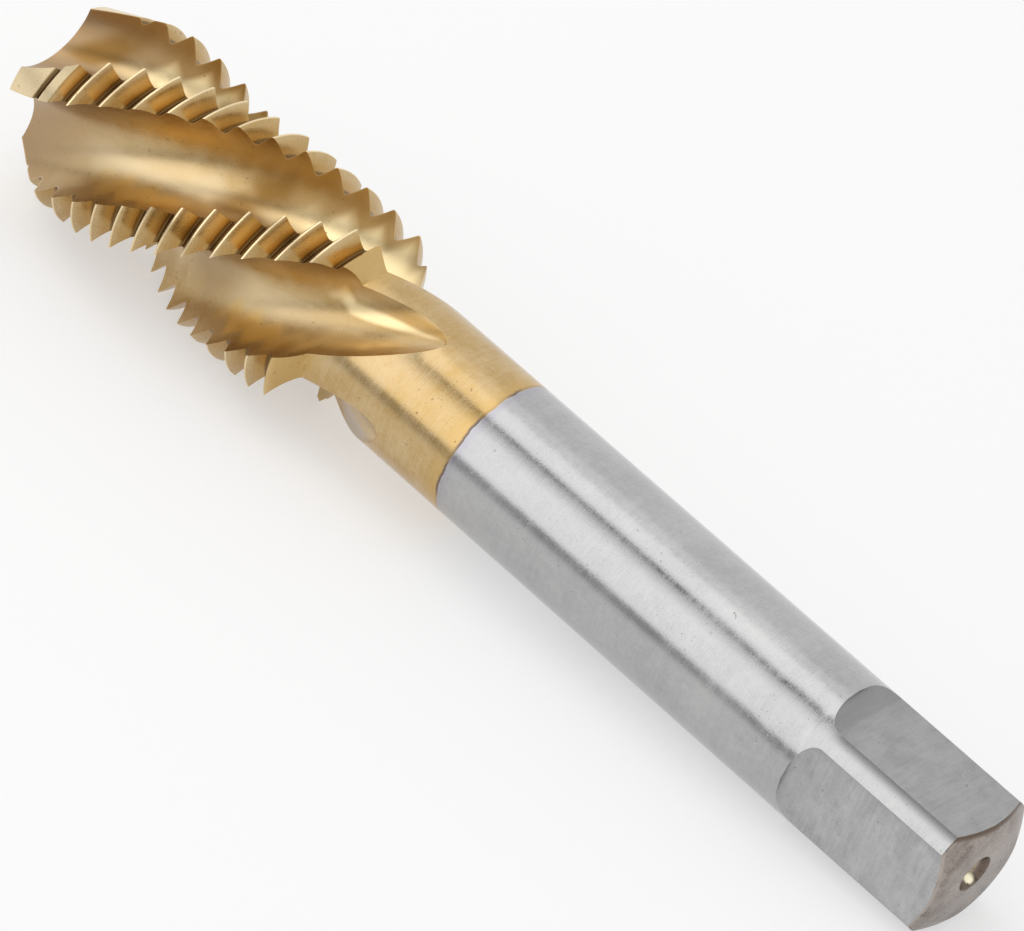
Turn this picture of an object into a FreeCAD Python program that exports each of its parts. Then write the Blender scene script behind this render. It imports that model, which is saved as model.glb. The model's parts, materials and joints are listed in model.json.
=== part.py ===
import FreeCAD, Part
import math
import os
import Sketcher

# Spiral flute machine tap for a coarse metric thread: one ground piece of tool steel.
# It is drawn on its own turning axis, with the tip at height zero and the drive end up that axis.
# It is then laid on its side as it comes to rest, tip towards -X and drive end towards +X.

document = FreeCAD.newDocument("spiral_flute_tap")

# Driving dimensions, in millimetres and degrees
driving = {
    "overall_length": 113.0,
    # blank
    "tip_diameter": 14.4,
    "lead_length": 6.8,
    "thread_diameter": 20.1,
    "thread_length": 35.8,
    "shoulder_length": 3.4,
    "shank_diameter": 14.0,
    "end_face_diameter": 10.2,
    "end_chamfer_length": 1.0,
    # thread, left hand; the groove height is taken in the plane of the first flat
    "thread_pitch": 2.5,
    "flank_angle": 60.0,
    "crest_flat": 0.31,
    "root_flat": 0.42,
    "groove_height": 0.992,
    # flutes, left hand, round in cross section; the turn is from the first flat
    "flute_number": 4,
    "flute_lead": 89.7,
    "flute_radius": 5.05,
    "web_diameter": 7.5,
    "flute_full_length": 39.0,
    "flute_turn": -37.1,
    "runout_angle": 20.3,
    # driving square; its cutter leaves a round end on each flat
    "square_across_flats": 11.2,
    "square_length": 14.7,
    "square_cutter_radius": 2.6,
    # centre holes in both ends
    "centre_mouth_diameter": 3.65,
    "centre_angle": 60.0,
    "centre_drill_diameter": 1.6,
    "centre_drill_depth": 4.2,
    "drill_point_angle": 118.0,
    # how far a cutter's outline stands clear of the blank
    "cutter_clearance": 0.2,
    # how it lies: turn about its own axis, and the height above the tip at which a land meets the floor
    "rest_roll": -85.3,
    "rest_contact_height": 24.2,
}

sheet = document.addObject("Spreadsheet::Sheet", "sizes")
for row, (alias, value) in enumerate(driving.items(), start=1):
    sheet.set("A%d" % row, alias)
    sheet.set("B%d" % row, "%g" % value)
    sheet.setAlias("B%d" % row, alias)
document.recompute()

tap = document.addObject("PartDesign::Body", "tap")
tap.Label = "tap"

# Radii and heights that several outlines share, as expressions of the sheet's cells
thread_radius = "sizes.thread_diameter / 2"
shank_radius = "sizes.shank_diameter / 2"
web_radius = "sizes.web_diameter / 2"
half_flank_slope = "tan(sizes.flank_angle * 1deg / 2)"
shank_start = "sizes.thread_length + sizes.shoulder_length"
square_start = "sizes.overall_length - sizes.square_length"


def size(expression):
    """number that an expression of the sheet's cells gives"""
    result = tap.evalExpression(expression)
    return float(getattr(result, "Value", result))


def new_sketch(name, role):
    """empty sketch on the plane of the body's own origin with this role"""
    sketch = tap.newObject("Sketcher::SketchObject", name)
    plane = next(feature for feature in tap.Origin.OriginFeatures if feature.Role == role)
    sketch.AttachmentSupport = (plane, [""])
    sketch.MapMode = "FlatFace"
    return sketch


def constrain(sketch, expression, kind, *parts):
    """dimension in a sketch, tied to the sheet"""
    number = sketch.addConstraint(Sketcher.Constraint(kind, *parts, size(expression)))
    sketch.setExpression("Constraints[%d]" % number, expression)


def draw_outline(sketch, corners):
    """closed outline of straight edges through corners given as (across, up) expressions"""
    points = [FreeCAD.Vector(size(across), size(up), 0) for across, up in corners]
    ends = zip(points, points[1:] + points[:1])
    edges = [sketch.addGeometry(Part.LineSegment(start, end), False) for start, end in ends]
    for edge, following, corner in zip(edges, edges[1:] + edges[:1], corners):
        sketch.addConstraint(Sketcher.Constraint("Coincident", edge, 2, following, 1))
        place_corner(sketch, edge, 1, corner)


def place_corner(sketch, edge, end, corner):
    """hold one end of an edge at its distances from the turning axis and from the tip"""
    across, up = corner
    constrain(sketch, across, "DistanceX", -1, 1, edge, end)
    constrain(sketch, up, "DistanceY", -1, 1, edge, end)


def turn(kind, name, corners):
    """blank or cut of revolution about the turning axis"""
    sketch = new_sketch(name + "_outline", "XZ_Plane")
    draw_outline(sketch, corners)
    feature = tap.newObject(kind, name)
    feature.Profile = sketch
    feature.ReferenceAxis = (sketch, ["V_Axis"])
    feature.Angle = 360
    feature.Refine = False
    document.recompute()
    return feature


def cut_helix(name, sketch, axis, pitch, height, cone="0", towards_tip=False):
    """left hand cut that carries a sketch along a helix about the turning axis"""
    cut = tap.newObject("PartDesign::SubtractiveHelix", name)
    cut.Profile = sketch
    cut.ReferenceAxis = (sketch, [axis])
    cut.Mode = "pitch-height-angle"
    cut.setExpression("Pitch", pitch)
    cut.setExpression("Height", height)
    cut.setExpression("Angle", cone)
    cut.LeftHanded = True
    cut.Reversed = towards_tip
    cut.Refine = False
    document.recompute()
    return cut


def repeat_around(name, cut, sketch, axis, number):
    """copies of a cut, evenly spaced about the turning axis"""
    pattern = tap.newObject("PartDesign::PolarPattern", name)
    pattern.Originals = [cut]
    pattern.Axis = (sketch, [axis])
    pattern.Angle = 360
    pattern.setExpression("Occurrences", number)
    pattern.Refine = False
    tap.Tip = pattern
    document.recompute()


def drill_centre(name, face, inward):
    """centre hole in one end: a cone, a short drilled pilot and its drill point"""
    mouth = "sizes.centre_mouth_diameter / 2"
    drill = "sizes.centre_drill_diameter / 2"
    cone_depth = "(%s - %s) / tan(sizes.centre_angle * 1deg / 2)" % (mouth, drill)
    point_depth = "%s / tan(sizes.drill_point_angle * 1deg / 2)" % drill
    turn("PartDesign::Groove", name, [
        ("0", face),
        (mouth, face),
        (drill, "%s %s %s" % (face, inward, cone_depth)),
        (drill, "%s %s sizes.centre_drill_depth" % (face, inward)),
        ("0", "%s %s (sizes.centre_drill_depth + %s)" % (face, inward, point_depth)),
    ])


# Blank: lead taper, thread body, shoulder, shank and end chamfer
turn("PartDesign::Revolution", "blank", [
    ("0", "0"),
    ("sizes.tip_diameter / 2", "0"),
    (thread_radius, "sizes.lead_length"),
    (thread_radius, "sizes.thread_length"),
    (shank_radius, shank_start),
    (shank_radius, "sizes.overall_length - sizes.end_chamfer_length"),
    ("sizes.end_face_diameter / 2", "sizes.overall_length"),
    ("0", "sizes.overall_length"),
])

# Flutes: a round section carried along its helix past the tip, then lifted out through the shank
flute_section = new_sketch("flute_section", "XY_Plane")
flute_section.AttachmentOffset = FreeCAD.Placement(
    FreeCAD.Vector(0, 0, size("sizes.flute_full_length")),
    FreeCAD.Rotation(FreeCAD.Vector(0, 0, 1), size("sizes.flute_turn")))
flute_section.setExpression("AttachmentOffset.Base.z", "sizes.flute_full_length")
flute_section.setExpression("AttachmentOffset.Rotation.Angle", "sizes.flute_turn")
flute_middle = web_radius + " + sizes.flute_radius"
flute_circle = flute_section.addGeometry(Part.Circle(
    FreeCAD.Vector(size(flute_middle), 0, 0), FreeCAD.Vector(0, 0, 1), size("sizes.flute_radius")), False)
flute_section.addConstraint(Sketcher.Constraint("PointOnObject", flute_circle, 3, -1))
constrain(flute_section, flute_middle, "DistanceX", -1, 1, flute_circle, 3)
constrain(flute_section, "sizes.flute_radius", "Radius", flute_circle)
flute = cut_helix("flute", flute_section, "N_Axis", "sizes.flute_lead",
                  "sizes.flute_full_length + sizes.thread_pitch", towards_tip=True)
repeat_around("flutes", flute, flute_section, "N_Axis", "sizes.flute_number")
runout_rise = "(%s - %s + sizes.thread_pitch / 2)" % (shank_radius, web_radius)
runout = cut_helix("flute_runout", flute_section, "N_Axis", "sizes.flute_lead",
                   runout_rise + " / tan(sizes.runout_angle * 1deg)", cone="sizes.runout_angle")
repeat_around("flute_runouts", runout, flute_section, "N_Axis", "sizes.flute_number")

# Driving square: one flat with the round end of its cutter, repeated for the four sides
flat_distance = "sizes.square_across_flats / 2"
cutter_side = flat_distance + " + sizes.square_cutter_radius"
cutter_top = "sizes.overall_length + sizes.square_cutter_radius"
flat_corners = [
    (flat_distance, square_start),
    (flat_distance, cutter_top),
    (cutter_side, cutter_top),
    (cutter_side, square_start + " - sizes.square_cutter_radius"),
]
flat_outline = new_sketch("flat_outline", "XZ_Plane")
flat_points = [FreeCAD.Vector(size(across), size(up), 0) for across, up in flat_corners]
for edge, (start, end) in enumerate(zip(flat_points, flat_points[1:])):
    flat_outline.addGeometry(Part.LineSegment(start, end), False)
    place_corner(flat_outline, edge, 1, flat_corners[edge])
place_corner(flat_outline, 2, 2, flat_corners[3])
cutter_middle = FreeCAD.Vector(flat_points[3].x, flat_points[0].y, 0)
cutter_circle = Part.Circle(cutter_middle, FreeCAD.Vector(0, 0, 1), size("sizes.square_cutter_radius"))
cutter_arc = flat_outline.addGeometry(Part.ArcOfCircle(cutter_circle, math.pi, math.pi * 3 / 2), False)
flat_joins = [(0, 2, 1, 1), (1, 2, 2, 1), (2, 2, cutter_arc, 2), (cutter_arc, 1, 0, 1)]
for join in flat_joins:
    flat_outline.addConstraint(Sketcher.Constraint("Coincident", *join))
constrain(flat_outline, "sizes.square_cutter_radius", "Radius", cutter_arc)
document.recompute()
flat = tap.newObject("PartDesign::Pocket", "square_flat")
flat.Profile = flat_outline
flat.Midplane = True
flat.setExpression("Length", "sizes.shank_diameter * 2")
flat.Refine = False
document.recompute()
repeat_around("square_flats", flat, flat_outline, "V_Axis", "4")

# Centre holes, one in each end
drill_centre("drive_end_centre", "sizes.overall_length", "-")
drill_centre("tip_centre", "0", "+")

# Thread: one groove along the whole thread body, begun clear of the tip and run out over the shoulder
groove_start = "(sizes.groove_height - 2 * sizes.thread_pitch)"
root_depth = "(sizes.thread_pitch - sizes.crest_flat - sizes.root_flat) / 2 / " + half_flank_slope
mouth_spread = "sizes.cutter_clearance * " + half_flank_slope
mouth_half = "((sizes.thread_pitch - sizes.crest_flat) / 2 + %s)" % mouth_spread
groove = new_sketch("thread_groove", "XZ_Plane")
draw_outline(groove, [
    ("%s - %s" % (thread_radius, root_depth), groove_start + " - sizes.root_flat / 2"),
    ("%s - %s" % (thread_radius, root_depth), groove_start + " + sizes.root_flat / 2"),
    (thread_radius + " + sizes.cutter_clearance", "%s + %s" % (groove_start, mouth_half)),
    (thread_radius + " + sizes.cutter_clearance", "%s - %s" % (groove_start, mouth_half)),
])
document.recompute()
cut_helix("thread", groove, "V_Axis", "sizes.thread_pitch", shank_start + " + 3 * sizes.thread_pitch")

# Rest: rolled on to a land, tilted until the end of the round shank meets the floor too, and set down
cutter_reach = "sqrt(sizes.square_cutter_radius ^ 2 - (%s - %s) ^ 2)" % (cutter_side, shank_radius)
shank_end = "(%s - %s)" % (square_start, cutter_reach)
rest_drop = "(%s - %s)" % (thread_radius, shank_radius)
rest_tilt = "atan(%s / (%s - sizes.rest_contact_height))" % (rest_drop, shank_end)
lying = FreeCAD.Rotation(FreeCAD.Vector(0, 1, 0), 90 + size(rest_tilt))
rolled = FreeCAD.Rotation(FreeCAD.Vector(0, 0, 1), size("sizes.rest_roll"))
tap.Placement = FreeCAD.Placement(FreeCAD.Vector(0, 0, 0), lying.multiply(rolled))
surface_points = tap.Shape.tessellate(size("sizes.cutter_clearance") / 10)[0]
lowest = [min(point[axis] for point in surface_points) for axis in range(3)]
highest = [max(point[axis] for point in surface_points) for axis in range(3)]
middle_x, middle_y = [(low + high) / 2 for low, high in zip(lowest[:2], highest[:2])]
tap.Placement.Base = FreeCAD.Vector(-middle_x, -middle_y, -lowest[2])
document.recompute()

for item in document.Objects:
    if "Invalid" in item.State or "Error" in item.State:
        raise RuntimeError("%s is %s" % (item.Label, item.State))
if tap.Shape.isNull() or not tap.Shape.isValid() or len(tap.Shape.Solids) != 1:
    raise RuntimeError("the tap is not one valid solid")

os.makedirs("parts", exist_ok=True)
tap.Shape.exportStep("parts/%s.step" % tap.Label)
print("tap: volume %.1f mm3, tilt %.3f degrees" % (tap.Shape.Volume, size(rest_tilt)))
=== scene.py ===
import json
import math

import bmesh
import bpy
from mathutils import Matrix, Vector


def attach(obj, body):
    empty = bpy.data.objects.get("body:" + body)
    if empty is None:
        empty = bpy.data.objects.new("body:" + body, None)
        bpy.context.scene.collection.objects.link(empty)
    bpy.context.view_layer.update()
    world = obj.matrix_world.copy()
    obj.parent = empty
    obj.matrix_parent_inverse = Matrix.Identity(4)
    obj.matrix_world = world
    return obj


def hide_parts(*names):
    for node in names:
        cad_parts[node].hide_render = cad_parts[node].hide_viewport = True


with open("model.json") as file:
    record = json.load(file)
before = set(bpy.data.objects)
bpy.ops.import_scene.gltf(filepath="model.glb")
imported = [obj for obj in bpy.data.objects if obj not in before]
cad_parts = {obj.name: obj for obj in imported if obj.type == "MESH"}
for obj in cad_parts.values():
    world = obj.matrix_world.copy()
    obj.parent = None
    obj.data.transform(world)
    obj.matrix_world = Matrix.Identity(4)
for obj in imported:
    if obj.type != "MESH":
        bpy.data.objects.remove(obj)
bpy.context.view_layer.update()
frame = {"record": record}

# Spiral flute tap lying on a pale table. Heights along the tap are measured from its tip, in millimetres.
mm = 0.001
scene = bpy.context.scene

tapSizes = {
    "length": 113.0,
    "threadPitch": 2.5, "threadRadius": 10.05, "crestFlat": 0.15, "rootFlat": 0.42, "flankAngle": 60.0,
    "grooveHeight": 0.992,          # height of a groove in the plane of the first flat of the square
    "tipRadius": 7.2, "leadLength": 6.8, "threadLength": 37.0, "shoulderLength": 1.6,
    "shankRadius": 7.0, "wallStart": 39.2,      # the shank mount's wall starts here
    "fluteLead": 89.7, "fluteRadius": 5.05, "webRadius": 3.75, "fluteTurn": -37.1,
    "fluteTurnHeight": 39.0,        # the height at which the first flute points at fluteTurn
    "runoutStart": 33.1,            # a flute's floor starts to rise here
    "runoutRadius": 33.6,           # of the curve on which it rises
    "runoutLean": 0.25,             # degrees that a millimetre of run-out turns the flute back
    "flatDistance": 5.6, "squareLength": 14.7, "cutterRadius": 1.9,
    "endRadius": 5.1, "endChamfer": 1.0,
    "centreMouth": 1.825, "centrePilot": 0.8, "centreAngle": 60.0, "centreDepth": 4.2, "pointAngle": 118.0,
    "restRoll": -85.3,              # turn about its own axis, as it lies on one land
    "coatEnd": 55.7,                # where the gold coat stops
}
tapMesh = {
    "cutSpans": 32, "landSpans": 10,        # round each quarter: across a flute or flat, across a land
    "crestSpans": 2, "flankSpans": 6, "rootSpans": 4,       # along each pitch of the thread
    "ringHeight": 50.0,                                     # the thread's spiral rows end in this level ring
    "mergeGap": 0.003, "sharpAngle": 28.0,
}
quarter = 90.0
columnsPerQuarter = tapMesh["cutSpans"] + tapMesh["landSpans"]
columnCount = 4 * columnsPerQuarter
columnWidth = 2 * math.pi * tapSizes["threadRadius"] / columnCount
openTurn = quarter * tapMesh["cutSpans"] / columnsPerQuarter    # degrees, on the plain shank


# Where the tap lies: its shank mount in the frame gives the axis, the rest roll turns it
def lyingPlace():
    shank = next(mount for mount in frame["record"]["mounts"] if mount["name"] == "shank")
    axis = Vector(shank["axis"]).normalized()
    wallEnd = tapSizes["length"] - tapSizes["endChamfer"]
    tip = Vector(shank["pos_m"]) - axis * (tapSizes["wallStart"] + wallEnd) / 2 * mm
    tilt = math.atan2(-axis.z, axis.x)
    tip = Matrix.Translation(tip)
    roll = Matrix.Rotation(math.radians(tapSizes["restRoll"]), 4, "Z")
    return tip @ Matrix.Rotation(math.pi / 2 + tilt, 4, "Y") @ roll @ Matrix.Scale(mm, 4)


lying = lyingPlace()


# Camera, placed in the tap's own axes: its side of the tap, its distance, and the tap's slant in the picture
cameraView = {
    "side": -42.3,                  # degrees round the axis from the first flat
    "distance": 544.72, "height": 284.645,
    "aimHeight": 57.564, "aimSide": -0.067,
    "slant": 41.35, "lens": 241.28, "sensor": 36.0,
}


def placeCamera():
    side = Matrix.Rotation(math.radians(cameraView["side"]), 4, "Z")
    eye = lying @ side @ Vector((cameraView["distance"], 0, cameraView["height"]))
    aim = lying @ side @ Vector((0, cameraView["aimSide"], cameraView["aimHeight"]))
    forward = (aim - eye).normalized()
    alongTap = lying.to_3x3() @ Vector((0, 0, 1))
    across = (alongTap - forward * alongTap.dot(forward)).normalized()
    up = across.cross(forward)
    slant = math.radians(cameraView["slant"])
    right = across * math.cos(slant) + up * math.sin(slant)
    pictureUp = right.cross(forward)
    camera = bpy.data.objects.new("camera", bpy.data.cameras.new("camera"))
    scene.collection.objects.link(camera)
    camera.data.lens = cameraView["lens"]
    camera.data.sensor_width = cameraView["sensor"]
    camera.data.clip_start = 0.01
    turn = Matrix((right, pictureUp, -forward)).transposed()
    camera.matrix_world = Matrix.Translation(eye) @ turn.to_4x4()
    scene.camera = camera


placeCamera()
print("camera placed")


def setSocket(tree, socket, value):
    if isinstance(value, NodeNumber):
        value = value.socket
    if isinstance(value, bpy.types.NodeSocket):
        tree.links.new(value, socket)
    else:
        socket.default_value = value


# One node: settings are its own, values go to its sockets as numbers or links
def addNode(tree, kind, settings=None, values=None):
    made = tree.nodes.new(kind)
    for name, value in (settings or {}).items():
        setattr(made, name, value)
    for name, value in (values or {}).items():
        setSocket(tree, made.inputs[name], value)
    return made


# A number in a node tree that can be added, scaled and compared like any other
class NodeNumber:
    def __init__(self, tree, socket):
        self.tree = tree
        self.socket = socket

    def maths(self, operation, *others, clamp=False):
        node = self.tree.nodes.new("ShaderNodeMath")
        node.operation = operation
        node.use_clamp = clamp
        for slot, value in enumerate((self, *others)):
            if isinstance(value, NodeNumber):
                self.tree.links.new(value.socket, node.inputs[slot])
            else:
                node.inputs[slot].default_value = value
        return NodeNumber(self.tree, node.outputs[0])

    def __add__(self, other):
        return self.maths("ADD", other)

    def __sub__(self, other):
        return self.maths("SUBTRACT", other)

    def __mul__(self, other):
        return self.maths("MULTIPLY", other)

    def __truediv__(self, other):
        return self.maths("DIVIDE", other)

    def __radd__(self, other):
        return self.maths("ADD", other)

    def __rmul__(self, other):
        return self.maths("MULTIPLY", other)

    def __rsub__(self, other):
        return self.maths("MULTIPLY", -1.0) + other

    def __rtruediv__(self, other):
        return self.maths("POWER", -1.0) * other

    def within(self, low, high):
        return self.maths("MAXIMUM", low).maths("MINIMUM", high)

    # 0 at low, 1 at high, and soft in between
    def ramp(self, low, high):
        made = addNode(self.tree, "ShaderNodeMapRange", {"interpolation_type": "SMOOTHSTEP"}, {
            "Value": self, "From Min": low, "From Max": high})
        return NodeNumber(self.tree, made.outputs[0])


def sine(angle):
    return angle.maths("RADIANS").maths("SINE")


def cosine(angle):
    return angle.maths("RADIANS").maths("COSINE")


def arcCosine(value):
    return value.within(-1.0, 1.0).maths("ARCCOSINE").maths("DEGREES")


def addInputs(tree, sizes):
    entry = tree.nodes.new("NodeGroupInput")
    tree.interface.new_socket("Geometry", in_out="INPUT", socket_type="NodeSocketGeometry")
    tree.interface.new_socket("Geometry", in_out="OUTPUT", socket_type="NodeSocketGeometry")
    for name, value in sizes.items():
        socket = tree.interface.new_socket(name, in_out="INPUT", socket_type="NodeSocketFloat")
        socket.default_value = value
    return {name: NodeNumber(tree, entry.outputs[name]) for name in sizes}


# Surface finishes. Colours are plain linear values; sizes of marks are in millimetres
# In the gold coat, the groove, root and upper flute wall tones are painted shade, the lower flute wall and
# shine tones are painted highlights, and edge is partly wear, partly painted highlight
goldCoat = {
    "deep": (0.47, 0.31, 0.115), "pale": (0.62, 0.465, 0.265), "groove": (0.46, 0.27, 0.075),
    "root": (0.09, 0.045, 0.015), "upperWallShade": (0.37, 0.205, 0.05), "lowerWallHighlight": (0.76, 0.61, 0.38),
    "tipTint": (0.38, 0.25, 0.135), "edge": (0.86, 0.70, 0.44), "rim": (0.58, 0.385, 0.14),
    "shine": (1.0, 0.80, 0.45), "plain": (0.88, 0.60, 0.20), "blotch": (0.28, 0.15, 0.038),
    "dusk": (0.36, 0.24, 0.12), "grey": (0.54, 0.51, 0.50),
    "roughness": 0.22, "roughnessSpread": 0.18, "fluteRoughness": 0.11, "threadRoughness": 0.05,
    "driftSize": 4.0, "grainSize": 0.15, "grainShare": 1.3, "lineSize": 0.13, "lineShare": 1.1,
    "speckSize": 0.4, "speckShare": 0.0, "speckColour": (0.30, 0.18, 0.07),
}
# the darkest bare steel tone is painted shade on the square's round corners
bareSteel = {
    "deep": (0.39, 0.39, 0.395), "pale": (0.49, 0.49, 0.485), "roughness": 0.2, "roughnessSpread": 0.2,
    "driftSize": 7.0, "grainSize": 0.15, "grainShare": 1.9, "lineSize": 0.14, "lineShare": 1.2,
    "speckSize": 0.35, "speckShare": -0.005, "speckColour": (0.27, 0.27, 0.27), "cornerShade": (0.19, 0.19, 0.19),
}
# the darkest milled tone is a faint burnish at the run-outs and painted shade on the flat on the -y side
milledSteel = {
    "deep": (0.36, 0.36, 0.36), "pale": (0.52, 0.52, 0.52), "roughness": 0.34, "roughnessSpread": 0.26,
    "driftSize": 2.5, "grainSize": 0.2, "grainShare": 1.6, "lineSize": 0.3, "lineShare": 1.6,
    "speckSize": 0.5, "speckShare": 0.01, "speckColour": (0.25, 0.25, 0.25), "runout": (0.22, 0.22, 0.22),
}
# the darkest faced tone is painted shade in the centre hole's mouth, round the chamfer's foot and by one flat
facedSteel = {
    "deep": (0.21, 0.175, 0.155), "pale": (0.42, 0.37, 0.34), "roughness": 0.33, "roughnessSpread": 0.26,
    "driftSize": 1.8, "grainSize": 0.2, "grainShare": 1.9, "lineSize": 0.22, "lineShare": 1.2,
    "speckSize": 0.5, "speckShare": 0.03, "speckColour": (0.15, 0.12, 0.10),
    "hole": (0.12, 0.085, 0.06), "bore": (0.50, 0.42, 0.31), "paleBand": (0.52, 0.46, 0.41),
    "glint": (1.0, 0.93, 0.68), "glintPlace": (-0.57, 1.37, 112.4), "glintReach": 0.6,
}
speckLook = {"level": 0.74, "steepness": 14, "patchiness": 0.35}     # how rare, how sharp and how patchy
coatFade = {
    "wander": 0.45, "tint": 0.5, "deepGold": 2.6,
    "lineColour": (0.12, 0.09, 0.10), "tintColour": (0.36, 0.33, 0.40), "steel": (0.42, 0.415, 0.43),
}
# Marks on the coat in the flutes: shine and edge marks are painted highlights, stain and dusk marks darken
# patches, plain and grey marks shift the tone. Each gives its tone and share, the middle's place around and
# along the tap, how wide and long the mark is, and how far it leans around for each millimetre along
fluteMarks = [
    ("dusk", 0.6, 7.9, 24.5, 4.0, 5.0, 0.0),
    ("plain", 0.7, 9.5, 31.0, 2.0, 6.5, 0.0),
    ("shine", 0.75, 7.8, 41.0, 2.4, 6.5, -0.1),
    ("shine", 0.8, 3.5, 41.0, 1.3, 6.5, -0.07),
    ("grey", 0.6, 26.5, 43.5, 4.0, 4.0, 0.0),
    ("blotch", 0.9, 35.4, 3.2, 3.0, 3.4, -0.6),
    ("shine", 0.95, 34.2, 10.0, 1.8, 6.5, -0.42),
    ("blotch", 0.95, 50.8, 24.6, 3.1, 3.3, 0.0),
    ("blotch", 0.9, 53.3, 23.5, 1.9, 3.3, 0.0),
    ("shine", 0.95, 50.7, 32.5, 2.6, 8.5, -0.22),
    ("edge", 0.25, 52.5, 19.0, 1.4, 4.5, 0.1),
    ("plain", 0.7, 56.6, 15.5, 1.8, 7.5, 0.0),
]


def mixColour(tree, share, first, second):
    made = addNode(tree, "ShaderNodeMix", {"data_type": "RGBA"})
    for slot, value in ((0, share), (6, first), (7, second)):
        if isinstance(value, tuple):
            value = (*value, 1)
        setSocket(tree, made.inputs[slot], value)
    return made.outputs[2]


# A place on the tap in its own axes and in millimetres, z from the tip
def tapPlace(tree):
    shift, turn, scale = lying.inverted().decompose()
    seen = addNode(tree, "ShaderNodeTexCoord")
    made = addNode(tree, "ShaderNodeMapping", None, {
        "Vector": seen.outputs["Object"], "Location": shift, "Rotation": turn.to_euler(), "Scale": scale})
    return made.outputs[0]


def parts(tree, vector):
    split = addNode(tree, "ShaderNodeSeparateXYZ", None, {"Vector": vector})
    return [NodeNumber(tree, output) for output in split.outputs]


def joined(tree, *values):
    made = addNode(tree, "ShaderNodeCombineXYZ")
    for slot, value in enumerate(values):
        setSocket(tree, made.inputs[slot], value)
    return made.outputs[0]


def attribute(tree, name):
    return addNode(tree, "ShaderNodeAttribute", {"attribute_name": name})


# A group with a place and some sizes going in and numbers coming out
def newGroup(name, sizes, results):
    tree = bpy.data.node_groups.new(name, "ShaderNodeTree")
    tree.interface.new_socket("Place", in_out="INPUT", socket_type="NodeSocketVector")
    for label, value in sizes.items():
        tree.interface.new_socket(label, in_out="INPUT", socket_type="NodeSocketFloat").default_value = value
    for label in results:
        tree.interface.new_socket(label, in_out="OUTPUT", socket_type="NodeSocketFloat")
    entry = tree.nodes.new("NodeGroupInput")
    leave = tree.nodes.new("NodeGroupOutput")
    return tree, entry, leave


def noiseAt(tree, place, scale, detail, roughness=0.55):
    return NodeNumber(tree, addNode(tree, "ShaderNodeTexNoise", None, {
        "Vector": place, "Scale": scale, "Detail": detail, "Roughness": roughness}).outputs[0])


# Fine speckle of a blasted or coated skin, and the slow drift of tone over it
def grainGroup():
    tree, entry, leave = newGroup("surfaceGrain", {"Grain Size": 0.2, "Drift Size": 5.0}, ["Grain", "Drift"])
    fineness = 1 / NodeNumber(tree, entry.outputs["Grain Size"])
    grain = noiseAt(tree, entry.outputs["Place"], fineness, 3.0) * 0.6 + noiseAt(
        tree, entry.outputs["Place"], fineness * 0.22, 2.0) * 0.4
    drift = noiseAt(tree, entry.outputs["Place"], 1 / NodeNumber(tree, entry.outputs["Drift Size"]), 4.0, 0.6)
    setSocket(tree, leave.inputs["Grain"], grain)
    setSocket(tree, leave.inputs["Drift"], drift.ramp(0.32, 0.68))
    return tree


# Lines that a wheel or cutter leaves: long in x and y, close together in z
def lineGroup():
    tree, entry, leave = newGroup("wheelLines", {"Line Size": 0.15, "Draw": 0.05}, ["Lines"])
    x, y, z = parts(tree, entry.outputs["Place"])
    draw = NodeNumber(tree, entry.outputs["Draw"])
    place = joined(tree, x * draw, y * draw, z)
    fineness = 1 / NodeNumber(tree, entry.outputs["Line Size"])
    fine = noiseAt(tree, place, fineness, 2.0)
    broad = noiseAt(tree, place, fineness * 0.23, 2.0)
    setSocket(tree, leave.inputs["Lines"], fine * 0.6 + broad * 0.4)
    return tree


# Small pits and dull spots, scattered in patches
def speckGroup():
    tree, entry, leave = newGroup("wearSpecks", {"Speck Size": 0.4, "Share": 0.05}, ["Specks"])
    fineness = 1 / NodeNumber(tree, entry.outputs["Speck Size"])
    share = NodeNumber(tree, entry.outputs["Share"])
    spots = noiseAt(tree, entry.outputs["Place"], fineness, 1.0)
    patches = noiseAt(tree, entry.outputs["Place"], fineness * 0.09, 2.0)
    level = speckLook["level"] - share - (patches - 0.5) * speckLook["patchiness"]
    setSocket(tree, leave.inputs["Specks"], ((spots - level) * speckLook["steepness"]).within(0.0, 1.0))
    return tree


surfaceGrain = grainGroup()
wheelLines = lineGroup()
wearSpecks = speckGroup()


def placeGroup(tree, group, values):
    return addNode(tree, "ShaderNodeGroup", {"node_tree": group}, values)


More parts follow.
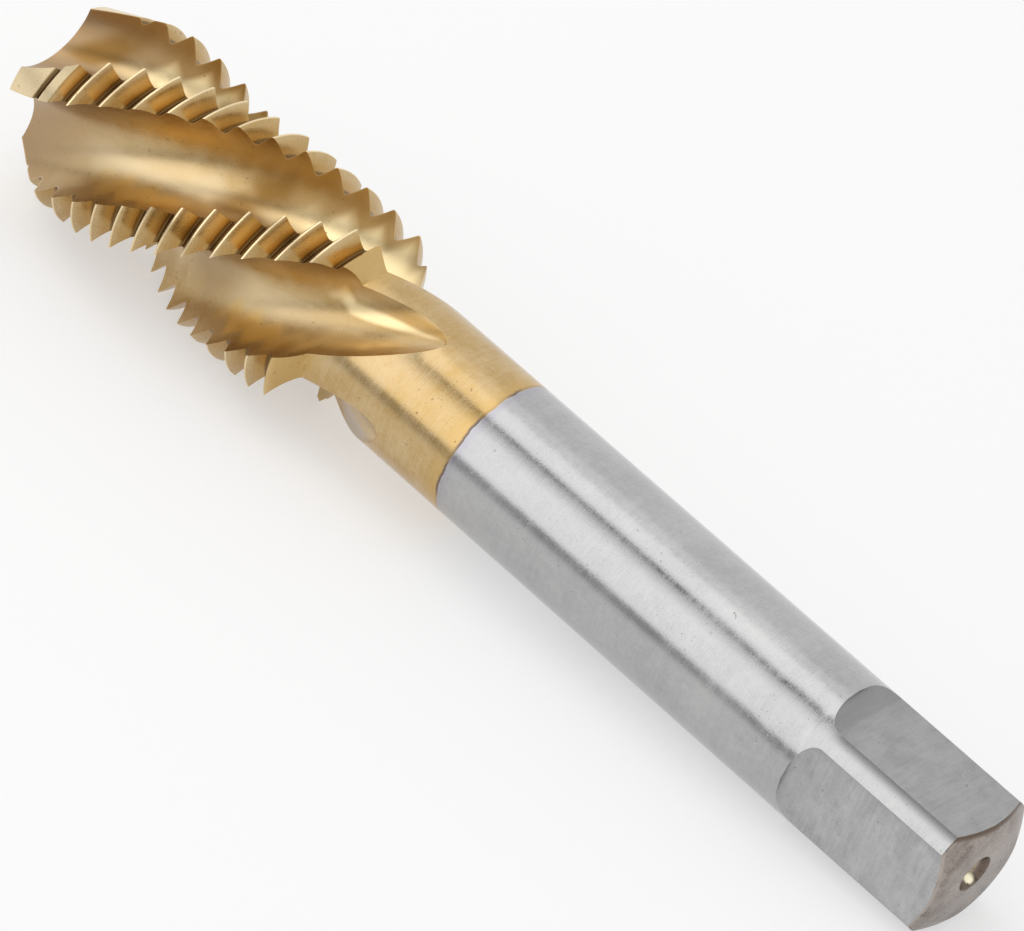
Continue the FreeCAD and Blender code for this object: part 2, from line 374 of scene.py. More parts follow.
# What every finish shares: drift of tone, wheel lines, grain and specks, into colour, roughness and bump
def finishSurface(tree, finish, place, linePlace, draw, colour, heights, dullness=0.0):
    grainNode = placeGroup(tree, surfaceGrain, {
        "Place": place, "Grain Size": finish["grainSize"], "Drift Size": finish["driftSize"]})
    lines = NodeNumber(tree, placeGroup(tree, wheelLines, {
        "Place": linePlace, "Line Size": finish["lineSize"], "Draw": draw}).outputs["Lines"])
    specks = NodeNumber(tree, placeGroup(tree, wearSpecks, {
        "Place": place, "Speck Size": finish["speckSize"], "Share": finish["speckShare"]}).outputs["Specks"])
    grain = NodeNumber(tree, grainNode.outputs["Grain"])
    drift = NodeNumber(tree, grainNode.outputs["Drift"])
    share = drift * 0.5 + (lines - 0.5) * finish["lineShare"] + (grain - 0.5) * finish["grainShare"] + 0.25
    tone = mixColour(tree, share.within(0.0, 1.0), finish["deep"], finish["pale"])
    if colour:
        tone = colour(tree, tone)
    tone = mixColour(tree, specks * 0.6, tone, finish["speckColour"])
    shader = tree.nodes["Principled BSDF"]
    shader.inputs["Metallic"].default_value = 1.0
    setSocket(tree, shader.inputs["Base Color"], tone)
    unevenness = lines - 0.5 + (grain - 0.5) * 1.2 + (drift - 0.5) * 0.3
    rough = unevenness * finish["roughnessSpread"] + finish["roughness"]
    setSocket(tree, shader.inputs["Roughness"], (rough + specks * 0.2 + dullness).within(0.05, 0.9))
    height = lines * heights["lines"] + grain * heights["grain"] - specks * heights["specks"]
    bump = addNode(tree, "ShaderNodeBump", None, {"Height": height, "Distance": heights["distance"]})
    setSocket(tree, shader.inputs["Normal"], bump.outputs[0])


def newMaterial(name):
    material = bpy.data.materials.new(name)
    material.use_nodes = True
    return material


# Gold coat: wheel lines follow the thread on the lands and the flute in the flutes
def makeGoldCoat():
    material = newMaterial("goldCoat")
    tree = material.node_tree
    place = tapPlace(tree)
    x, y, height = parts(tree, place)
    around, along, fluteHeight = parts(tree, attribute(tree, "traces").outputs["Vector"])
    radius, depth, reach = parts(tree, attribute(tree, "depths").outputs["Vector"])
    cutDepth = radius - reach
    inFlute = NodeNumber(tree, attribute(tree, "inFlute").outputs["Fac"]) * cutDepth.ramp(0.0, 0.02)
    onThread = 1 - height.ramp(tapSizes["threadLength"], tapSizes["threadLength"] + 0.5)
    landLine = height + (along - height) * onThread
    lineHeight = landLine + (around * 1.4 - landLine) * inFlute
    linePlace = joined(tree, x + height * inFlute * 0.6, y, lineHeight)

    def colour(tree, tone):
        onLand = onThread * (1 - inFlute)
        turns = along / tapSizes["threadPitch"]
        phase = turns - turns.maths("FLOOR")            # 0 in the root, a half on the crest
        fromRoot = (0.5 - (phase - 0.5).maths("ABSOLUTE")) * tapSizes["threadPitch"]
        tipSide = phase.maths("LESS_THAN", 0.5) * onLand
        # painted shade: the lands darken with depth down into the thread's grooves
        tone = mixColour(tree, depth.ramp(0.02, 1.3) * onLand * 0.75, tone, goldCoat["groove"])
        # painted highlight: a pale line on the flank that faces the tip
        sheen = 1 - (depth - 0.8).maths("ABSOLUTE").ramp(0.2, 0.45)
        tone = mixColour(tree, tipSide * sheen * 0.7, tone, goldCoat["edge"])
        # painted shade: a dark line between the tip-side flank and the crest, and a dark line along each root
        shade = depth.ramp(0.06, 0.16) * (1 - depth.ramp(0.3, 0.45))
        tone = mixColour(tree, tipSide * shade * 0.75, tone, goldCoat["root"])
        rootShadeLine = (1 - fromRoot.ramp(0.14, 0.34)) * depth.ramp(0.01, 0.08) * onLand
        tone = mixColour(tree, rootShadeLine * 0.8, tone, goldCoat["root"])
        # blotchy noise over the flutes, which breaks up the wall tones and the marks' outlines
        blotch = noiseAt(tree, joined(tree, around, fluteHeight * 0.3, 0.0), 0.21, 2.0).ramp(0.38, 0.62)
        column = around / columnWidth
        quarterStart = (column / columnsPerQuarter).maths("FLOOR") * columnsPerQuarter
        across = (column - quarterStart) / tapMesh["cutSpans"]
        upperWall = (1 - across.ramp(0.1, 0.5)) * inFlute
        lowerWall = across.ramp(0.35, 0.6) * (1 - across.ramp(0.7, 0.95)) * inFlute
        # painted shade: the flute's upper wall, by the land's edge, darkens to brown, broken up by noise
        tone = mixColour(tree, (blotch * 0.5 + 0.15) * upperWall, tone, goldCoat["upperWallShade"])
        # painted highlight: a pale band along the flute's lower wall
        tone = mixColour(tree, (0.75 - blotch * 0.45) * lowerWall, tone, goldCoat["lowerWallHighlight"])
        nearTip = (1 - height.ramp(1.0, 14.0)) * inFlute * 0.85
        tone = mixColour(tree, nearTip, tone, goldCoat["tipTint"])
        # flute marks: shine and edge marks paint highlights, the others darken patches or shift the tone
        for name, share, middleAround, middleHeight, wide, long, lean in fluteMarks:
            past = fluteHeight - middleHeight
            aside = (around - middleAround - past * lean) / wide
            ahead = past / long
            away = (aside * aside + ahead * ahead).maths("SQRT") + (blotch - 0.5) * 0.3
            tone = mixColour(tree, (1 - away.ramp(0.25, 1.0)) * inFlute * share, tone, goldCoat[name])
        # worn crests and cutting-edge lips turn pale, partly painted highlight
        crest = (1 - depth.ramp(0.01, 0.07)) * onLand
        lip = (1 - cutDepth.ramp(0.02, 0.16)) * inFlute * onThread
        tone = mixColour(tree, crest.maths("MAXIMUM", lip * 0.6) * 0.85, tone, goldCoat["edge"])
        end = tapSizes["coatEnd"]
        shoulder = tapSizes["threadLength"]
        warm = height.ramp(shoulder - 0.5, shoulder + 0.3) * (1 - height.ramp(shoulder + 1.5, shoulder + 4.0))
        tone = mixColour(tree, warm * (1 - inFlute) * 0.7, tone, goldCoat["rim"])
        rim = height.ramp(end - coatFade["deepGold"], end - 0.2) * (1 - inFlute)
        tone = mixColour(tree, rim * 0.5, tone, goldCoat["rim"])
        girth = joined(tree, x, y, 0.0)
        past = height - end + noiseAt(tree, girth, 0.7, 4.0) * coatFade["wander"]
        lineShare = noiseAt(tree, girth, 0.25, 1.0).ramp(0.4, 0.6) * 0.6 + 0.3
        tone = mixColour(tree, past.ramp(-0.3, 0.0) * lineShare, tone, coatFade["lineColour"])
        return mixColour(tree, past.ramp(0.02, 0.14), tone, coatFade["steel"])

    dullness = inFlute * goldCoat["fluteRoughness"] + (1 - inFlute) * onThread * goldCoat["threadRoughness"]
    finishSurface(tree, goldCoat, place, linePlace, 0.05, colour,
                  {"lines": 0.5, "grain": 1.1, "specks": 1.5, "distance": 0.000005}, dullness)
    return material


def makeBareSteel():
    material = newMaterial("bareSteel")
    tree = material.node_tree
    place = tapPlace(tree)
    x, y, height = parts(tree, place)

    def colour(tree, tone):
        end = tapSizes["coatEnd"]
        fade = (1 - height.ramp(end, end + coatFade["tint"] * 2)) * 0.4
        tone = mixColour(tree, fade, tone, coatFade["tintColour"])
        turn = y.maths("ARCTAN2", x).maths("DEGREES")
        fromCorner = turn - (turn / quarter).maths("FLOOR") * quarter - quarter / 2
        squareStart = tapSizes["length"] - tapSizes["squareLength"]
        # painted shade: each round corner of the square darkens towards one side
        cornerShade = (1 - fromCorner.ramp(-8.1, 1.0)) * height.ramp(squareStart - 1, squareStart + 1) * 0.9
        return mixColour(tree, cornerShade, tone, bareSteel["cornerShade"])

    finishSurface(tree, bareSteel, place, place, 0.04, colour,
                  {"lines": 0.6, "grain": 1.6, "specks": 1.5, "distance": 0.000005})
    return material


def makeMilledSteel():
    material = newMaterial("milledSteel")
    tree = material.node_tree
    place = tapPlace(tree)
    x, y, height = parts(tree, place)
    squareStart = tapSizes["length"] - tapSizes["squareLength"]

    def colour(tree, tone):
        # painted shade: the flat on the -y side is darker all over and more so at its run-out; a faint burnish
        # mark darkens every flat's run-out
        upperFlat = (y * -1).ramp(3.0, 5.0)
        runout = (1 - height.ramp(squareStart - 0.25, squareStart + 0.25)) * (upperFlat * 0.2 + 0.06)
        runout = runout + (1 - height.ramp(squareStart, squareStart + 4.0)) * 0.06
        return mixColour(tree, runout + upperFlat * 0.4, tone, milledSteel["runout"])

    finishSurface(tree, milledSteel, place, place, 0.12, colour,
                  {"lines": 1.3, "grain": 0.8, "specks": 1.0, "distance": 0.000014})
    return material


# The drive end's face, chamfer and centre hole, turned in rings
def makeFacedSteel():
    material = newMaterial("facedSteel")
    tree = material.node_tree
    place = tapPlace(tree)
    x, y, height = parts(tree, place)
    radius = (x * x + y * y).maths("SQRT")

    def colour(tree, tone):
        mouth = tapSizes["centreMouth"]
        # painted shade in the mouth of the centre hole
        tone = mixColour(tree, (1 - radius.ramp(mouth - 0.1, mouth + 0.15)) * 0.75, tone, facedSteel["hole"])
        tone = mixColour(tree, 1 - radius.ramp(mouth - 0.6, mouth - 0.3), tone, facedSteel["bore"])
        away = [part - middle for part, middle in zip((x, y, height), facedSteel["glintPlace"])]
        away = (away[0] * away[0] + away[1] * away[1] + away[2] * away[2]).maths("SQRT")
        glint = 1 - away.ramp(facedSteel["glintReach"] * 0.5, facedSteel["glintReach"])
        tone = mixColour(tree, glint, tone, facedSteel["glint"])
        rim = tapSizes["length"] - tapSizes["endChamfer"]
        # painted shade: a dark line round the foot of the end chamfer
        tone = mixColour(tree, (1 - height.ramp(rim, rim + 0.12)) * 0.6, tone, facedSteel["hole"])
        flat = tapSizes["flatDistance"]
        # a paler band on the face beside the flat on the +x side
        tone = mixColour(tree, x.ramp(flat - 0.45, flat - 0.2) * 0.5, tone, facedSteel["paleBand"])
        # painted shade: a dark line on the face along the flat on the -y side
        return mixColour(tree, (y * -1).ramp(flat - 0.6, flat - 0.2) * 0.85, tone, facedSteel["hole"])

    finishSurface(tree, facedSteel, place, joined(tree, x, y, radius + height), 0.1, colour,
                  {"lines": 0.7, "grain": 1.0, "specks": 1.0, "distance": 0.000008})
    return material


finishes = {
    "gold": makeGoldCoat(), "bare": makeBareSteel(), "milled": makeMilledSteel(), "faced": makeFacedSteel(),
}
finishOrder = list(finishes)
print("finishes", ", ".join(finishes))


# Turn, in degrees, of the middle of the first flute at a height
def fluteTurnAt(height, size):
    return size["fluteTurn"] - (height - size["fluteTurnHeight"]) / size["fluteLead"] * 360


# Thread and flutes: rows of the grid follow the thread, its columns follow the flutes
def threadTree():
    tree = bpy.data.node_groups.new("threadAndFlutes", "GeometryNodeTree")
    names = ["threadPitch", "threadRadius", "crestFlat", "rootFlat", "flankAngle", "grooveHeight",
             "tipRadius", "leadLength", "threadLength", "shoulderLength", "shankRadius", "fluteLead",
             "fluteRadius", "webRadius", "fluteTurn", "fluteTurnHeight", "runoutStart", "runoutRadius",
             "runoutLean"]
    size = addInputs(tree, {name: tapSizes[name] for name in names})
    pitch = size["threadPitch"]
    ring = tapMesh["ringHeight"]

    # which row and column a point belongs to
    rowsPerPitch = tapMesh["crestSpans"] + 2 * tapMesh["flankSpans"] + tapMesh["rootSpans"]
    slope = 1 - tapSizes["threadPitch"] / tapSizes["fluteLead"]
    turnAtTip = fluteTurnAt(0, tapSizes) / 360
    firstPitch = math.floor(turnAtTip - tapSizes["grooveHeight"] / tapSizes["threadPitch"]) - 1
    pitchesToRing = (ring * slope - tapSizes["grooveHeight"]) / tapSizes["threadPitch"]
    lastPitch = math.ceil(pitchesToRing + turnAtTip + 1) + 1
    rowCount = (lastPitch - firstPitch) * rowsPerPitch + 1
    grid = tree.nodes.new("GeometryNodeMeshGrid")
    grid.inputs["Vertices X"].default_value = rowCount
    grid.inputs["Vertices Y"].default_value = columnCount + 1
    index = NodeNumber(tree, tree.nodes.new("GeometryNodeInputIndex").outputs[0])
    row = ((index + 0.5) / (columnCount + 1)).maths("FLOOR")
    column = index - row * (columnCount + 1)

    # a row's place in the pitch: half a root, a flank, a crest, a flank, half a root
    wholePitch = (row / rowsPerPitch + 0.001).maths("FLOOR")
    step = row - wholePitch * rowsPerPitch
    flank = (pitch - size["crestFlat"] - size["rootFlat"]) / 2
    rowTurn = wholePitch * pitch
    start = 0
    spans = [(tapMesh["rootSpans"] / 2, size["rootFlat"] / 2), (tapMesh["flankSpans"], flank),
             (tapMesh["crestSpans"], size["crestFlat"]), (tapMesh["flankSpans"], flank),
             (tapMesh["rootSpans"] / 2, size["rootFlat"] / 2)]
    for count, width in spans:
        rowTurn = rowTurn + ((step - start) / count).within(0.0, 1.0) * width
        start += count
    rowTurn = rowTurn / pitch + firstPitch

    # a column's place in its quarter: first across the flute, then across the land behind it
    quarterNumber = ((column + 0.5) / columnsPerQuarter).maths("FLOOR")
    place = column - quarterNumber * columnsPerQuarter
    acrossFlute = (place / tapMesh["cutSpans"]).within(0.0, 1.0)
    acrossLand = ((place - tapMesh["cutSpans"]) / tapMesh["landSpans"]).within(0.0, 1.0)
    middle = size["webRadius"] + size["fluteRadius"]
    crestEdge = arcCosine((middle * middle + size["threadRadius"] * size["threadRadius"]
                           - size["fluteRadius"] * size["fluteRadius"]) / (middle * size["threadRadius"] * 2))
    nominal = quarterNumber * quarter + (acrossFlute * 2 - 1) * crestEdge
    nominal = nominal + acrossLand * (quarter - crestEdge * 2)

    # height of the point, from the row's thread helix and the column's flute helix
    fluteAtTip = fluteTurnAt(0, size)
    helixHeight = (size["grooveHeight"] + pitch * (rowTurn - (fluteAtTip + nominal) / 360)) / (
        1 - pitch / size["fluteLead"])
    height = helixHeight.within(0.0, ring)
    fluteMiddle = fluteTurnAt(height, size)

    # radius that the blank and the thread leave at the point
    lead = (height / size["leadLength"]).within(0.0, 1.0) * (size["threadRadius"] - size["tipRadius"])
    shoulder = ((height - size["threadLength"]) / size["shoulderLength"]).within(0.0, 1.0) * (
        size["threadRadius"] - size["shankRadius"])
    blank = size["tipRadius"] + lead - shoulder
    gauge = (height - size["grooveHeight"]) / pitch + (fluteMiddle + nominal) / 360
    fromGroove = (gauge - gauge.maths("ROUND")).maths("ABSOLUTE") * pitch
    flankSlope = (size["flankAngle"] / 2).maths("RADIANS").maths("TANGENT")
    rootRadius = size["threadRadius"] - flank / flankSlope
    rootRound = size["rootFlat"] / 2
    rootCurve = (fromGroove * fromGroove + rootRound * rootRound).maths("SQRT") - rootRound
    thread = rootRadius + rootCurve / flankSlope
    radius = blank.maths("MINIMUM", thread)

    # flute: part of a circle, lifted out of the tap where the flute runs out
    past = (height - size["runoutStart"]).maths("MAXIMUM", 0.0)
    centre = middle + past * past / (size["runoutRadius"] * 2)
    lean = past * size["runoutLean"]
    edge = arcCosine((radius * radius - centre * centre - size["fluteRadius"] * size["fluteRadius"])
                     / (centre * size["fluteRadius"] * 2))
    arc = edge + acrossFlute * (360 - edge * 2)
    outward = centre + size["fluteRadius"] * cosine(arc)
    sideways = size["fluteRadius"] * sine(arc) * -1
    fluteTurn = sideways.maths("ARCTAN2", outward).maths("DEGREES")
    fluteReach = (outward * outward + sideways * sideways).maths("SQRT")

    # past the end of the flute its columns open out over the plain shank
    fluteEnd = tapSizes["runoutStart"] + math.sqrt(
        2 * tapSizes["runoutRadius"] * (tapSizes["shankRadius"] - tapSizes["webRadius"]))
    opening = ((height - fluteEnd) / (ring - fluteEnd)).within(0.0, 1.0) * openTurn
    edgeTurn = (size["fluteRadius"] * sine(edge)).maths(
        "ARCTAN2", centre + size["fluteRadius"] * cosine(edge)).maths("DEGREES") + opening / 2
    turn = (fluteMiddle - lean + quarterNumber * quarter + fluteTurn + opening * (acrossFlute - 0.5)
            + acrossLand * (quarter - edgeTurn * 2))
    inFlute = place.maths("LESS_THAN", tapMesh["cutSpans"] + 0.5)
    reach = (fluteReach * inFlute + radius * (1 - inFlute)).maths("MINIMUM", radius)

    position = tree.nodes.new("ShaderNodeCombineXYZ")
    for slot, value in enumerate((reach * cosine(turn), reach * sine(turn), height)):
        tree.links.new(value.socket, position.inputs[slot])
    shape = tree.nodes.new("GeometryNodeSetPosition")
    tree.links.new(grid.outputs["Mesh"], shape.inputs["Geometry"])
    tree.links.new(position.outputs[0], shape.inputs["Position"])

    # places on the surface, in millimetres round and along it, for the grain of the grinding wheel
    around = column * columnWidth
    along = (rowTurn - firstPitch) * pitch
    last = shape
    for name, values in (("traces", (around, along, height)), ("depths", (radius, blank - radius, reach))):
        vector = tree.nodes.new("ShaderNodeCombineXYZ")
        for slot, value in enumerate(values):
            tree.links.new(value.socket, vector.inputs[slot])
        atPoints = tree.nodes.new("GeometryNodeFieldOnDomain")
        atPoints.data_type = "FLOAT_VECTOR"
        atPoints.domain = "POINT"
        tree.links.new(vector.outputs[0], atPoints.inputs[0])
        store = tree.nodes.new("GeometryNodeStoreNamedAttribute")
        store.data_type = "FLOAT_VECTOR"
        store.domain = "CORNER"
        store.inputs["Name"].default_value = name
        tree.links.new(atPoints.outputs[0], store.inputs["Value"])
        tree.links.new(last.outputs[0], store.inputs["Geometry"])
        last = store
    faceColumn = index - ((index + 0.5) / columnCount).maths("FLOOR") * columnCount
    facePlace = faceColumn - ((faceColumn + 0.5) / columnsPerQuarter).maths("FLOOR") * columnsPerQuarter
    fluteFace = facePlace.maths("LESS_THAN", tapMesh["cutSpans"] - 0.5)
    store = tree.nodes.new("GeometryNodeStoreNamedAttribute")
    store.data_type = "FLOAT"
    store.domain = "FACE"
    store.inputs["Name"].default_value = "inFlute"
    tree.links.new(fluteFace.socket, store.inputs["Value"])
    tree.links.new(last.outputs[0], store.inputs["Geometry"])
    last = store

    realize = tree.nodes.new("GeometryNodeRealizeInstances")
    finish = tree.nodes.new("GeometryNodeSetMaterial")
    finish.inputs["Material"].default_value = finishes["gold"]
    leave = tree.nodes.new("NodeGroupOutput")
    tree.links.new(last.outputs[0], realize.inputs[0])
    tree.links.new(realize.outputs[0], finish.inputs["Geometry"])
    tree.links.new(finish.outputs[0], leave.inputs[0])
    return tree


def makeThread():
    seed = bpy.data.objects.new("threadGrid", bpy.data.meshes.new("threadGrid"))
    scene.collection.objects.link(seed)
    modifier = seed.modifiers.new("threadAndFlutes", "NODES")
    modifier.node_group = threadTree()
    bpy.context.view_layer.update()
    evaluated = seed.evaluated_get(bpy.context.evaluated_depsgraph_get())
    mesh = bpy.data.meshes.new_from_object(evaluated)
    seed.modifiers.remove(modifier)
    bpy.data.objects.remove(seed)
    return mesh


threadMesh = makeThread()
print("thread and flutes", len(threadMesh.vertices), "points", len(threadMesh.polygons), "faces")


# One ring of points round the tap: cut columns lie on the four flats, where there are any, land columns between
def ringPoints(height, limit, flat, opening, middle):
    flatTurn = math.degrees(math.acos(min(1.0, flat / limit)))
    edgeTurn = flatTurn + opening / 2
    points = []
    for column in range(columnCount):
        quarterNumber, place = divmod(column, columnsPerQuarter)
        across = min(place / tapMesh["cutSpans"], 1.0)
        acrossLand = max(place - tapMesh["cutSpans"], 0) / tapMesh["landSpans"]
        onFlat = math.atan(math.tan(math.radians(flatTurn)) * (2 * across - 1))
        reach = min(limit, max(flat, 0) / math.cos(onFlat)) if flatTurn and not acrossLand else limit
        turn = math.radians(middle + quarterNumber * quarter + opening * (across - 0.5)
                            + acrossLand * (quarter - 2 * edgeTurn)) + onFlat
        points.append((reach * math.cos(turn), reach * math.sin(turn), height))
    return points


def between(low, high, steps):
    return [low + (high - low) * step / steps for step in range(1, steps + 1)]


def smooth(part):
    part = min(max(part, 0.0), 1.0)
    return part * part * (3 - 2 * part)


# Shank, square and end chamfer, as rings from the end of the thread's rows to the drive end's face
def rearRings():
    size = tapSizes
    squareStart = size["length"] - size["squareLength"]
    cutterMiddle = size["flatDistance"] + size["cutterRadius"]
    flatStart = squareStart - math.sqrt(size["cutterRadius"] ** 2 - (cutterMiddle - size["shankRadius"]) ** 2)
    chamferStart = size["length"] - size["endChamfer"]
    closing = flatStart - 5
    startTurn = fluteTurnAt(tapMesh["ringHeight"], size) - (
        tapMesh["ringHeight"] - size["runoutStart"]) * size["runoutLean"]
    flatTurn = quarter * round(startTurn / quarter)
    noFlat = size["shankRadius"] * 2
    rings = [ringPoints(tapMesh["ringHeight"], size["shankRadius"], noFlat, openTurn, startTurn)]
    for height in between(tapMesh["ringHeight"], size["coatEnd"], 3) + between(size["coatEnd"], closing, 8):
        middle = startTurn + (flatTurn - startTurn) * smooth((height - tapMesh["ringHeight"]) / (
            closing - tapMesh["ringHeight"]))
        rings.append(ringPoints(height, size["shankRadius"], noFlat, openTurn, middle))
    for height in between(closing, flatStart, 6):
        opening = openTurn * (flatStart - height) / (flatStart - closing)
        rings.append(ringPoints(height, size["shankRadius"], noFlat, opening, flatTurn))
    cutterSweep = math.acos((cutterMiddle - size["shankRadius"]) / size["cutterRadius"])
    for sweep in between(cutterSweep, 0, 14):
        height = squareStart - size["cutterRadius"] * math.sin(sweep)
        flat = cutterMiddle - size["cutterRadius"] * math.cos(sweep)
        rings.append(ringPoints(height, size["shankRadius"], flat, 0, flatTurn))
    for height in between(squareStart, chamferStart, 10):
        rings.append(ringPoints(height, size["shankRadius"], size["flatDistance"], 0, flatTurn))
    for part in between(0, 1, 12):
        limit = size["shankRadius"] + (size["endRadius"] - size["shankRadius"]) * part
        height = chamferStart + size["endChamfer"] * part
        rings.append(ringPoints(height, limit, size["flatDistance"], 0, flatTurn))
    return rings, flatTurn, flatStart


tinyRadius = 1e-6                   # of the ring that closes to the drill point


# Centre hole: rings from its mouth down to the drill point
def holeRings(face, inward, middle):
    size = tapSizes
    coneDepth = (size["centreMouth"] - size["centrePilot"]) / math.tan(math.radians(size["centreAngle"] / 2))
    pointDepth = size["centrePilot"] / math.tan(math.radians(size["pointAngle"] / 2))
    steps = [(size["centreMouth"], 0)]
    narrowing = size["centrePilot"] - size["centreMouth"]
    steps += [(size["centreMouth"] + narrowing * part, coneDepth * part) for part in between(0, 1, 3)]
    steps += [(size["centrePilot"], size["centreDepth"]), (tinyRadius, size["centreDepth"] + pointDepth)]
    noFlat = size["shankRadius"] * 2
    return [ringPoints(face + inward * depth, radius, noFlat, openTurn, middle) for radius, depth in steps]


# Which finish a face behind the thread has
def finishAt(height, column, flatStart):
    if height < tapSizes["coatEnd"]:
        return "gold"
    onFlat = column % columnsPerQuarter < tapMesh["cutSpans"] and height > flatStart
    chamferStart = tapSizes["length"] - tapSizes["endChamfer"]
    toFlat = tapSizes["shankRadius"] - tapSizes["flatDistance"]
    cutByFlat = toFlat / (tapSizes["shankRadius"] - tapSizes["endRadius"])
    if height > chamferStart + tapSizes["endChamfer"] * (cutByFlat if onFlat else 0):
        return "faced"
    return "milled" if onFlat else "bare"


def joinRings(body, rings, layer, flatStart, finish=None):
    rows = [[body.verts.new(point) for point in ring] for ring in rings]
    for row, above in zip(rows, rows[1:]):
        height = (row[0].co.z + above[0].co.z) / 2
        for column in range(columnCount):
            after = (column + 1) % columnCount
            face = body.faces.new((row[column], row[after], above[after], above[column]))
            face.material_index = finishOrder.index(finish or finishAt(height, column, flatStart))
            for loop, turnStep in zip(face.loops, (0, 1, 1, 0)):
                loop[layer] = Vector(((column + turnStep) * columnWidth, loop.vert.co.z, loop.vert.co.z))


def makeTap():
    size = tapSizes
    body = bmesh.new()
    body.from_mesh(threadMesh)
    for face in body.faces:
        face.material_index = finishOrder.index("gold")
    traces = body.loops.layers.float_vector["traces"]
    rings, flatTurn, flatStart = rearRings()
    joinRings(body, rings, traces, flatStart)
    joinRings(body, [rings[-1]] + holeRings(size["length"], -1, flatTurn), traces, flatStart, "faced")
    joinRings(body, holeRings(0, 1, fluteTurnAt(0, size)), traces, flatStart, "gold")
    bmesh.ops.remove_doubles(body, verts=body.verts, dist=tapMesh["mergeGap"])
    bmesh.ops.dissolve_degenerate(body, edges=body.edges, dist=tapMesh["mergeGap"] / 10)
    openEdges = [edge for edge in body.edges if edge.is_boundary]
    print("open edges to fill", len(openEdges))
    bmesh.ops.triangle_fill(body, edges=openEdges, use_beauty=True)
    bmesh.ops.recalc_face_normals(body, faces=body.faces)
    print("open edges left", sum(1 for edge in body.edges if not edge.is_manifold))
    mesh = bpy.data.meshes.new("tapBody")
    body.to_mesh(mesh)
    body.free()
    mesh.transform(lying)
    mesh.shade_smooth()
    mesh.set_sharp_from_angle(angle=math.radians(tapMesh["sharpAngle"]))
    for name in finishOrder:
        mesh.materials.append(finishes[name])
    piece = bpy.data.objects.new("tapBody", mesh)
    scene.collection.objects.link(piece)
    return piece


tap = makeTap()
print("tap", len(tap.data.vertices), "points", len(tap.data.polygons), "faces")

# Light: soft boxes overhead and in front, in a pale room. From and to are degrees from straight up towards the
# front, and white is how much brighter than the white wall a box looks
lampSizes = {
    "overhead": {"from": -3.0, "to": 21.5, "distance": 0.60, "along": -0.25,
                 "length": 1.0, "white": 0.45},
    "overheadWide": {"from": -24.0, "to": 21.5, "distance": 0.62, "along": -0.25,
                 "length": 1.0, "white": 0.23},
    "front": {"from": 54.0, "to": 66.0, "distance": 0.95, "along": -0.40,
                 "length": 1.3, "white": 0.25},
    "frontWide": {"from": 34.0, "to": 88.0, "distance": 1.01, "along": -0.40,
                 "length": 1.3, "white": 0.48},
}
roomLook = {
    "fill": 0.65,                   # what the walls give to matt things
    "gapFrom": 21.5, "gapSoft": 23.0, "gapTo": 50.0, "gapLevel": 0.25,   # darker ceiling between them
}
floorLook = {
    "reach": 3.0, "colour": 0.62, "glow": 0.45,
    "dimFrom": 0.030, "dimTo": 0.056, "dimLevel": 0.48,     # the front end, dim in the metal's reflections
}


def makeLamp(name, facts):
    lamp = bpy.data.lights.new(name, "AREA")
    lamp.shape = "RECTANGLE"
    lamp.size = facts["length"]
    lamp.size_y = 2 * facts["distance"] * math.tan(math.radians((facts["to"] - facts["from"]) / 2))
    lamp.energy = math.pi * lamp.size * lamp.size_y * facts["white"]
    thing = bpy.data.objects.new(name, lamp)
    scene.collection.objects.link(thing)
    turn = math.radians((facts["from"] + facts["to"]) / 2)
    place = Vector((facts["along"], -math.sin(turn) * facts["distance"], math.cos(turn) * facts["distance"]))
    thing.location = place
    thing.rotation_euler = (-place).to_track_quat("-Z", "X").to_euler()


for name, facts in lampSizes.items():
    makeLamp(name, facts)

world = bpy.data.worlds.new("room")
scene.world = world
world.use_nodes = True
room = world.node_tree


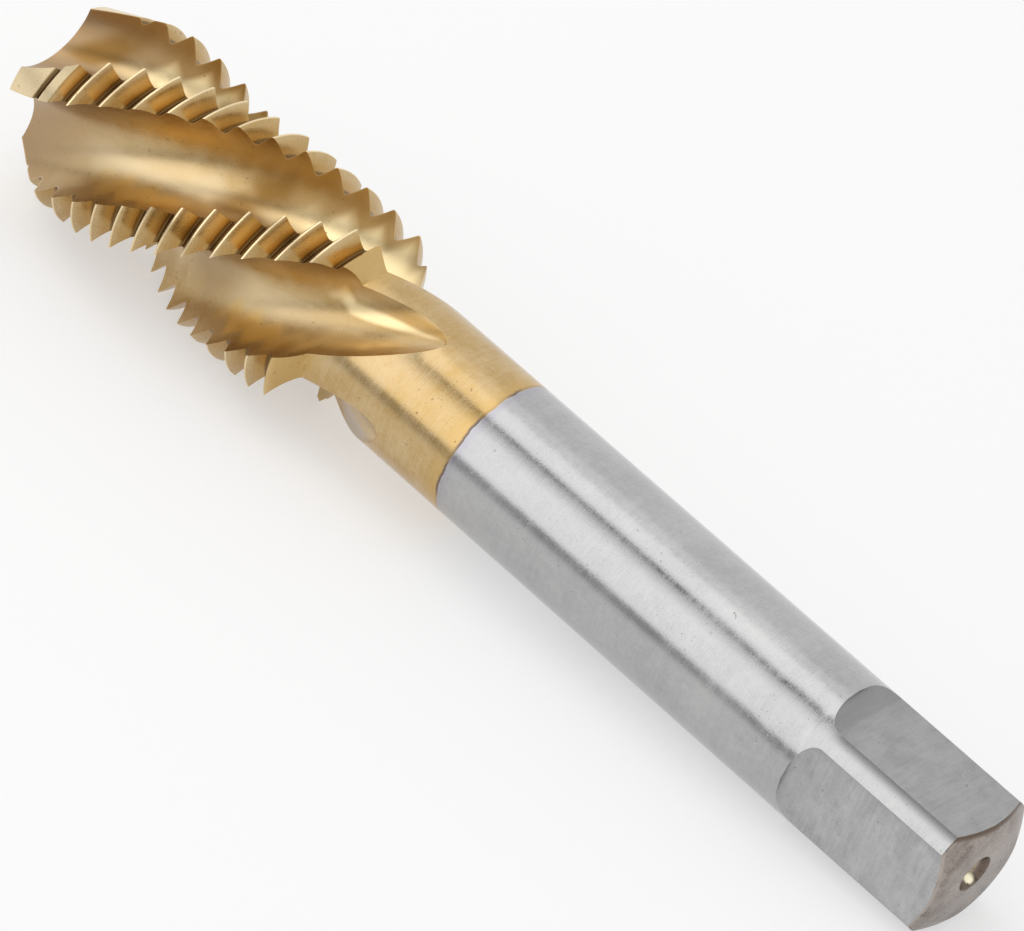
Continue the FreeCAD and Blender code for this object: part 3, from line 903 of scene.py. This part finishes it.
def rayKind(tree, kind):
    return NodeNumber(tree, addNode(tree, "ShaderNodeLightPath").outputs["Is " + kind + " Ray"])


# 1 for the rays in which the background shows: straight, mirrored or through glass
def showsBackground(tree):
    camera, glossy, through = [rayKind(tree, kind) for kind in ("Camera", "Glossy", "Transmission")]
    return camera.maths("MAXIMUM", glossy).maths("MAXIMUM", through)


direction = parts(room, addNode(room, "ShaderNodeTexCoord").outputs["Generated"])
fromUp = (direction[1] * -1).maths("ARCTAN2", direction[2]).maths("DEGREES")
inGap = fromUp.ramp(roomLook["gapFrom"] - 1, roomLook["gapFrom"] + 1) * (
    1 - fromUp.ramp(roomLook["gapSoft"], roomLook["gapTo"]))
wall = 1 - inGap * (1 - roomLook["gapLevel"])
seen = showsBackground(room)
level = wall * seen + (1 - seen) * roomLook["fill"]
setSocket(room, room.nodes["Background"].inputs["Color"], joined(room, level, level, level))

floorMesh = bpy.data.meshes.new("floor")
reach = floorLook["reach"]
corners = [(-reach, -reach, 0), (reach, -reach, 0), (reach, reach, 0), (-reach, reach, 0)]
floorMesh.from_pydata(corners, [], [(0, 1, 2, 3)])
floor = bpy.data.objects.new("floor", floorMesh)
scene.collection.objects.link(floor)
paleFloor = newMaterial("paleFloor")
floorTree = paleFloor.node_tree
floorShader = floorTree.nodes["Principled BSDF"]
towardsFront = parts(floorTree, addNode(floorTree, "ShaderNodeTexCoord").outputs["Object"])[1] * -1
dim = towardsFront.ramp(floorLook["dimFrom"], floorLook["dimTo"]) * rayKind(floorTree, "Glossy")
shade = 1 - dim * (1 - floorLook["dimLevel"])
setSocket(floorTree, floorShader.inputs["Base Color"], joined(floorTree, *[shade * floorLook["colour"]] * 3))
floorShader.inputs["Specular IOR Level"].default_value = 0.0
floorShader.inputs["Emission Strength"].default_value = floorLook["glow"]
setSocket(floorTree, floorShader.inputs["Emission Color"], joined(
    floorTree, *[shade * showsBackground(floorTree)] * 3))
floorMesh.materials.append(paleFloor)

scene.view_settings.view_transform = "Standard"
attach(tap, "root")
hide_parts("tap")
print("pieces finished")
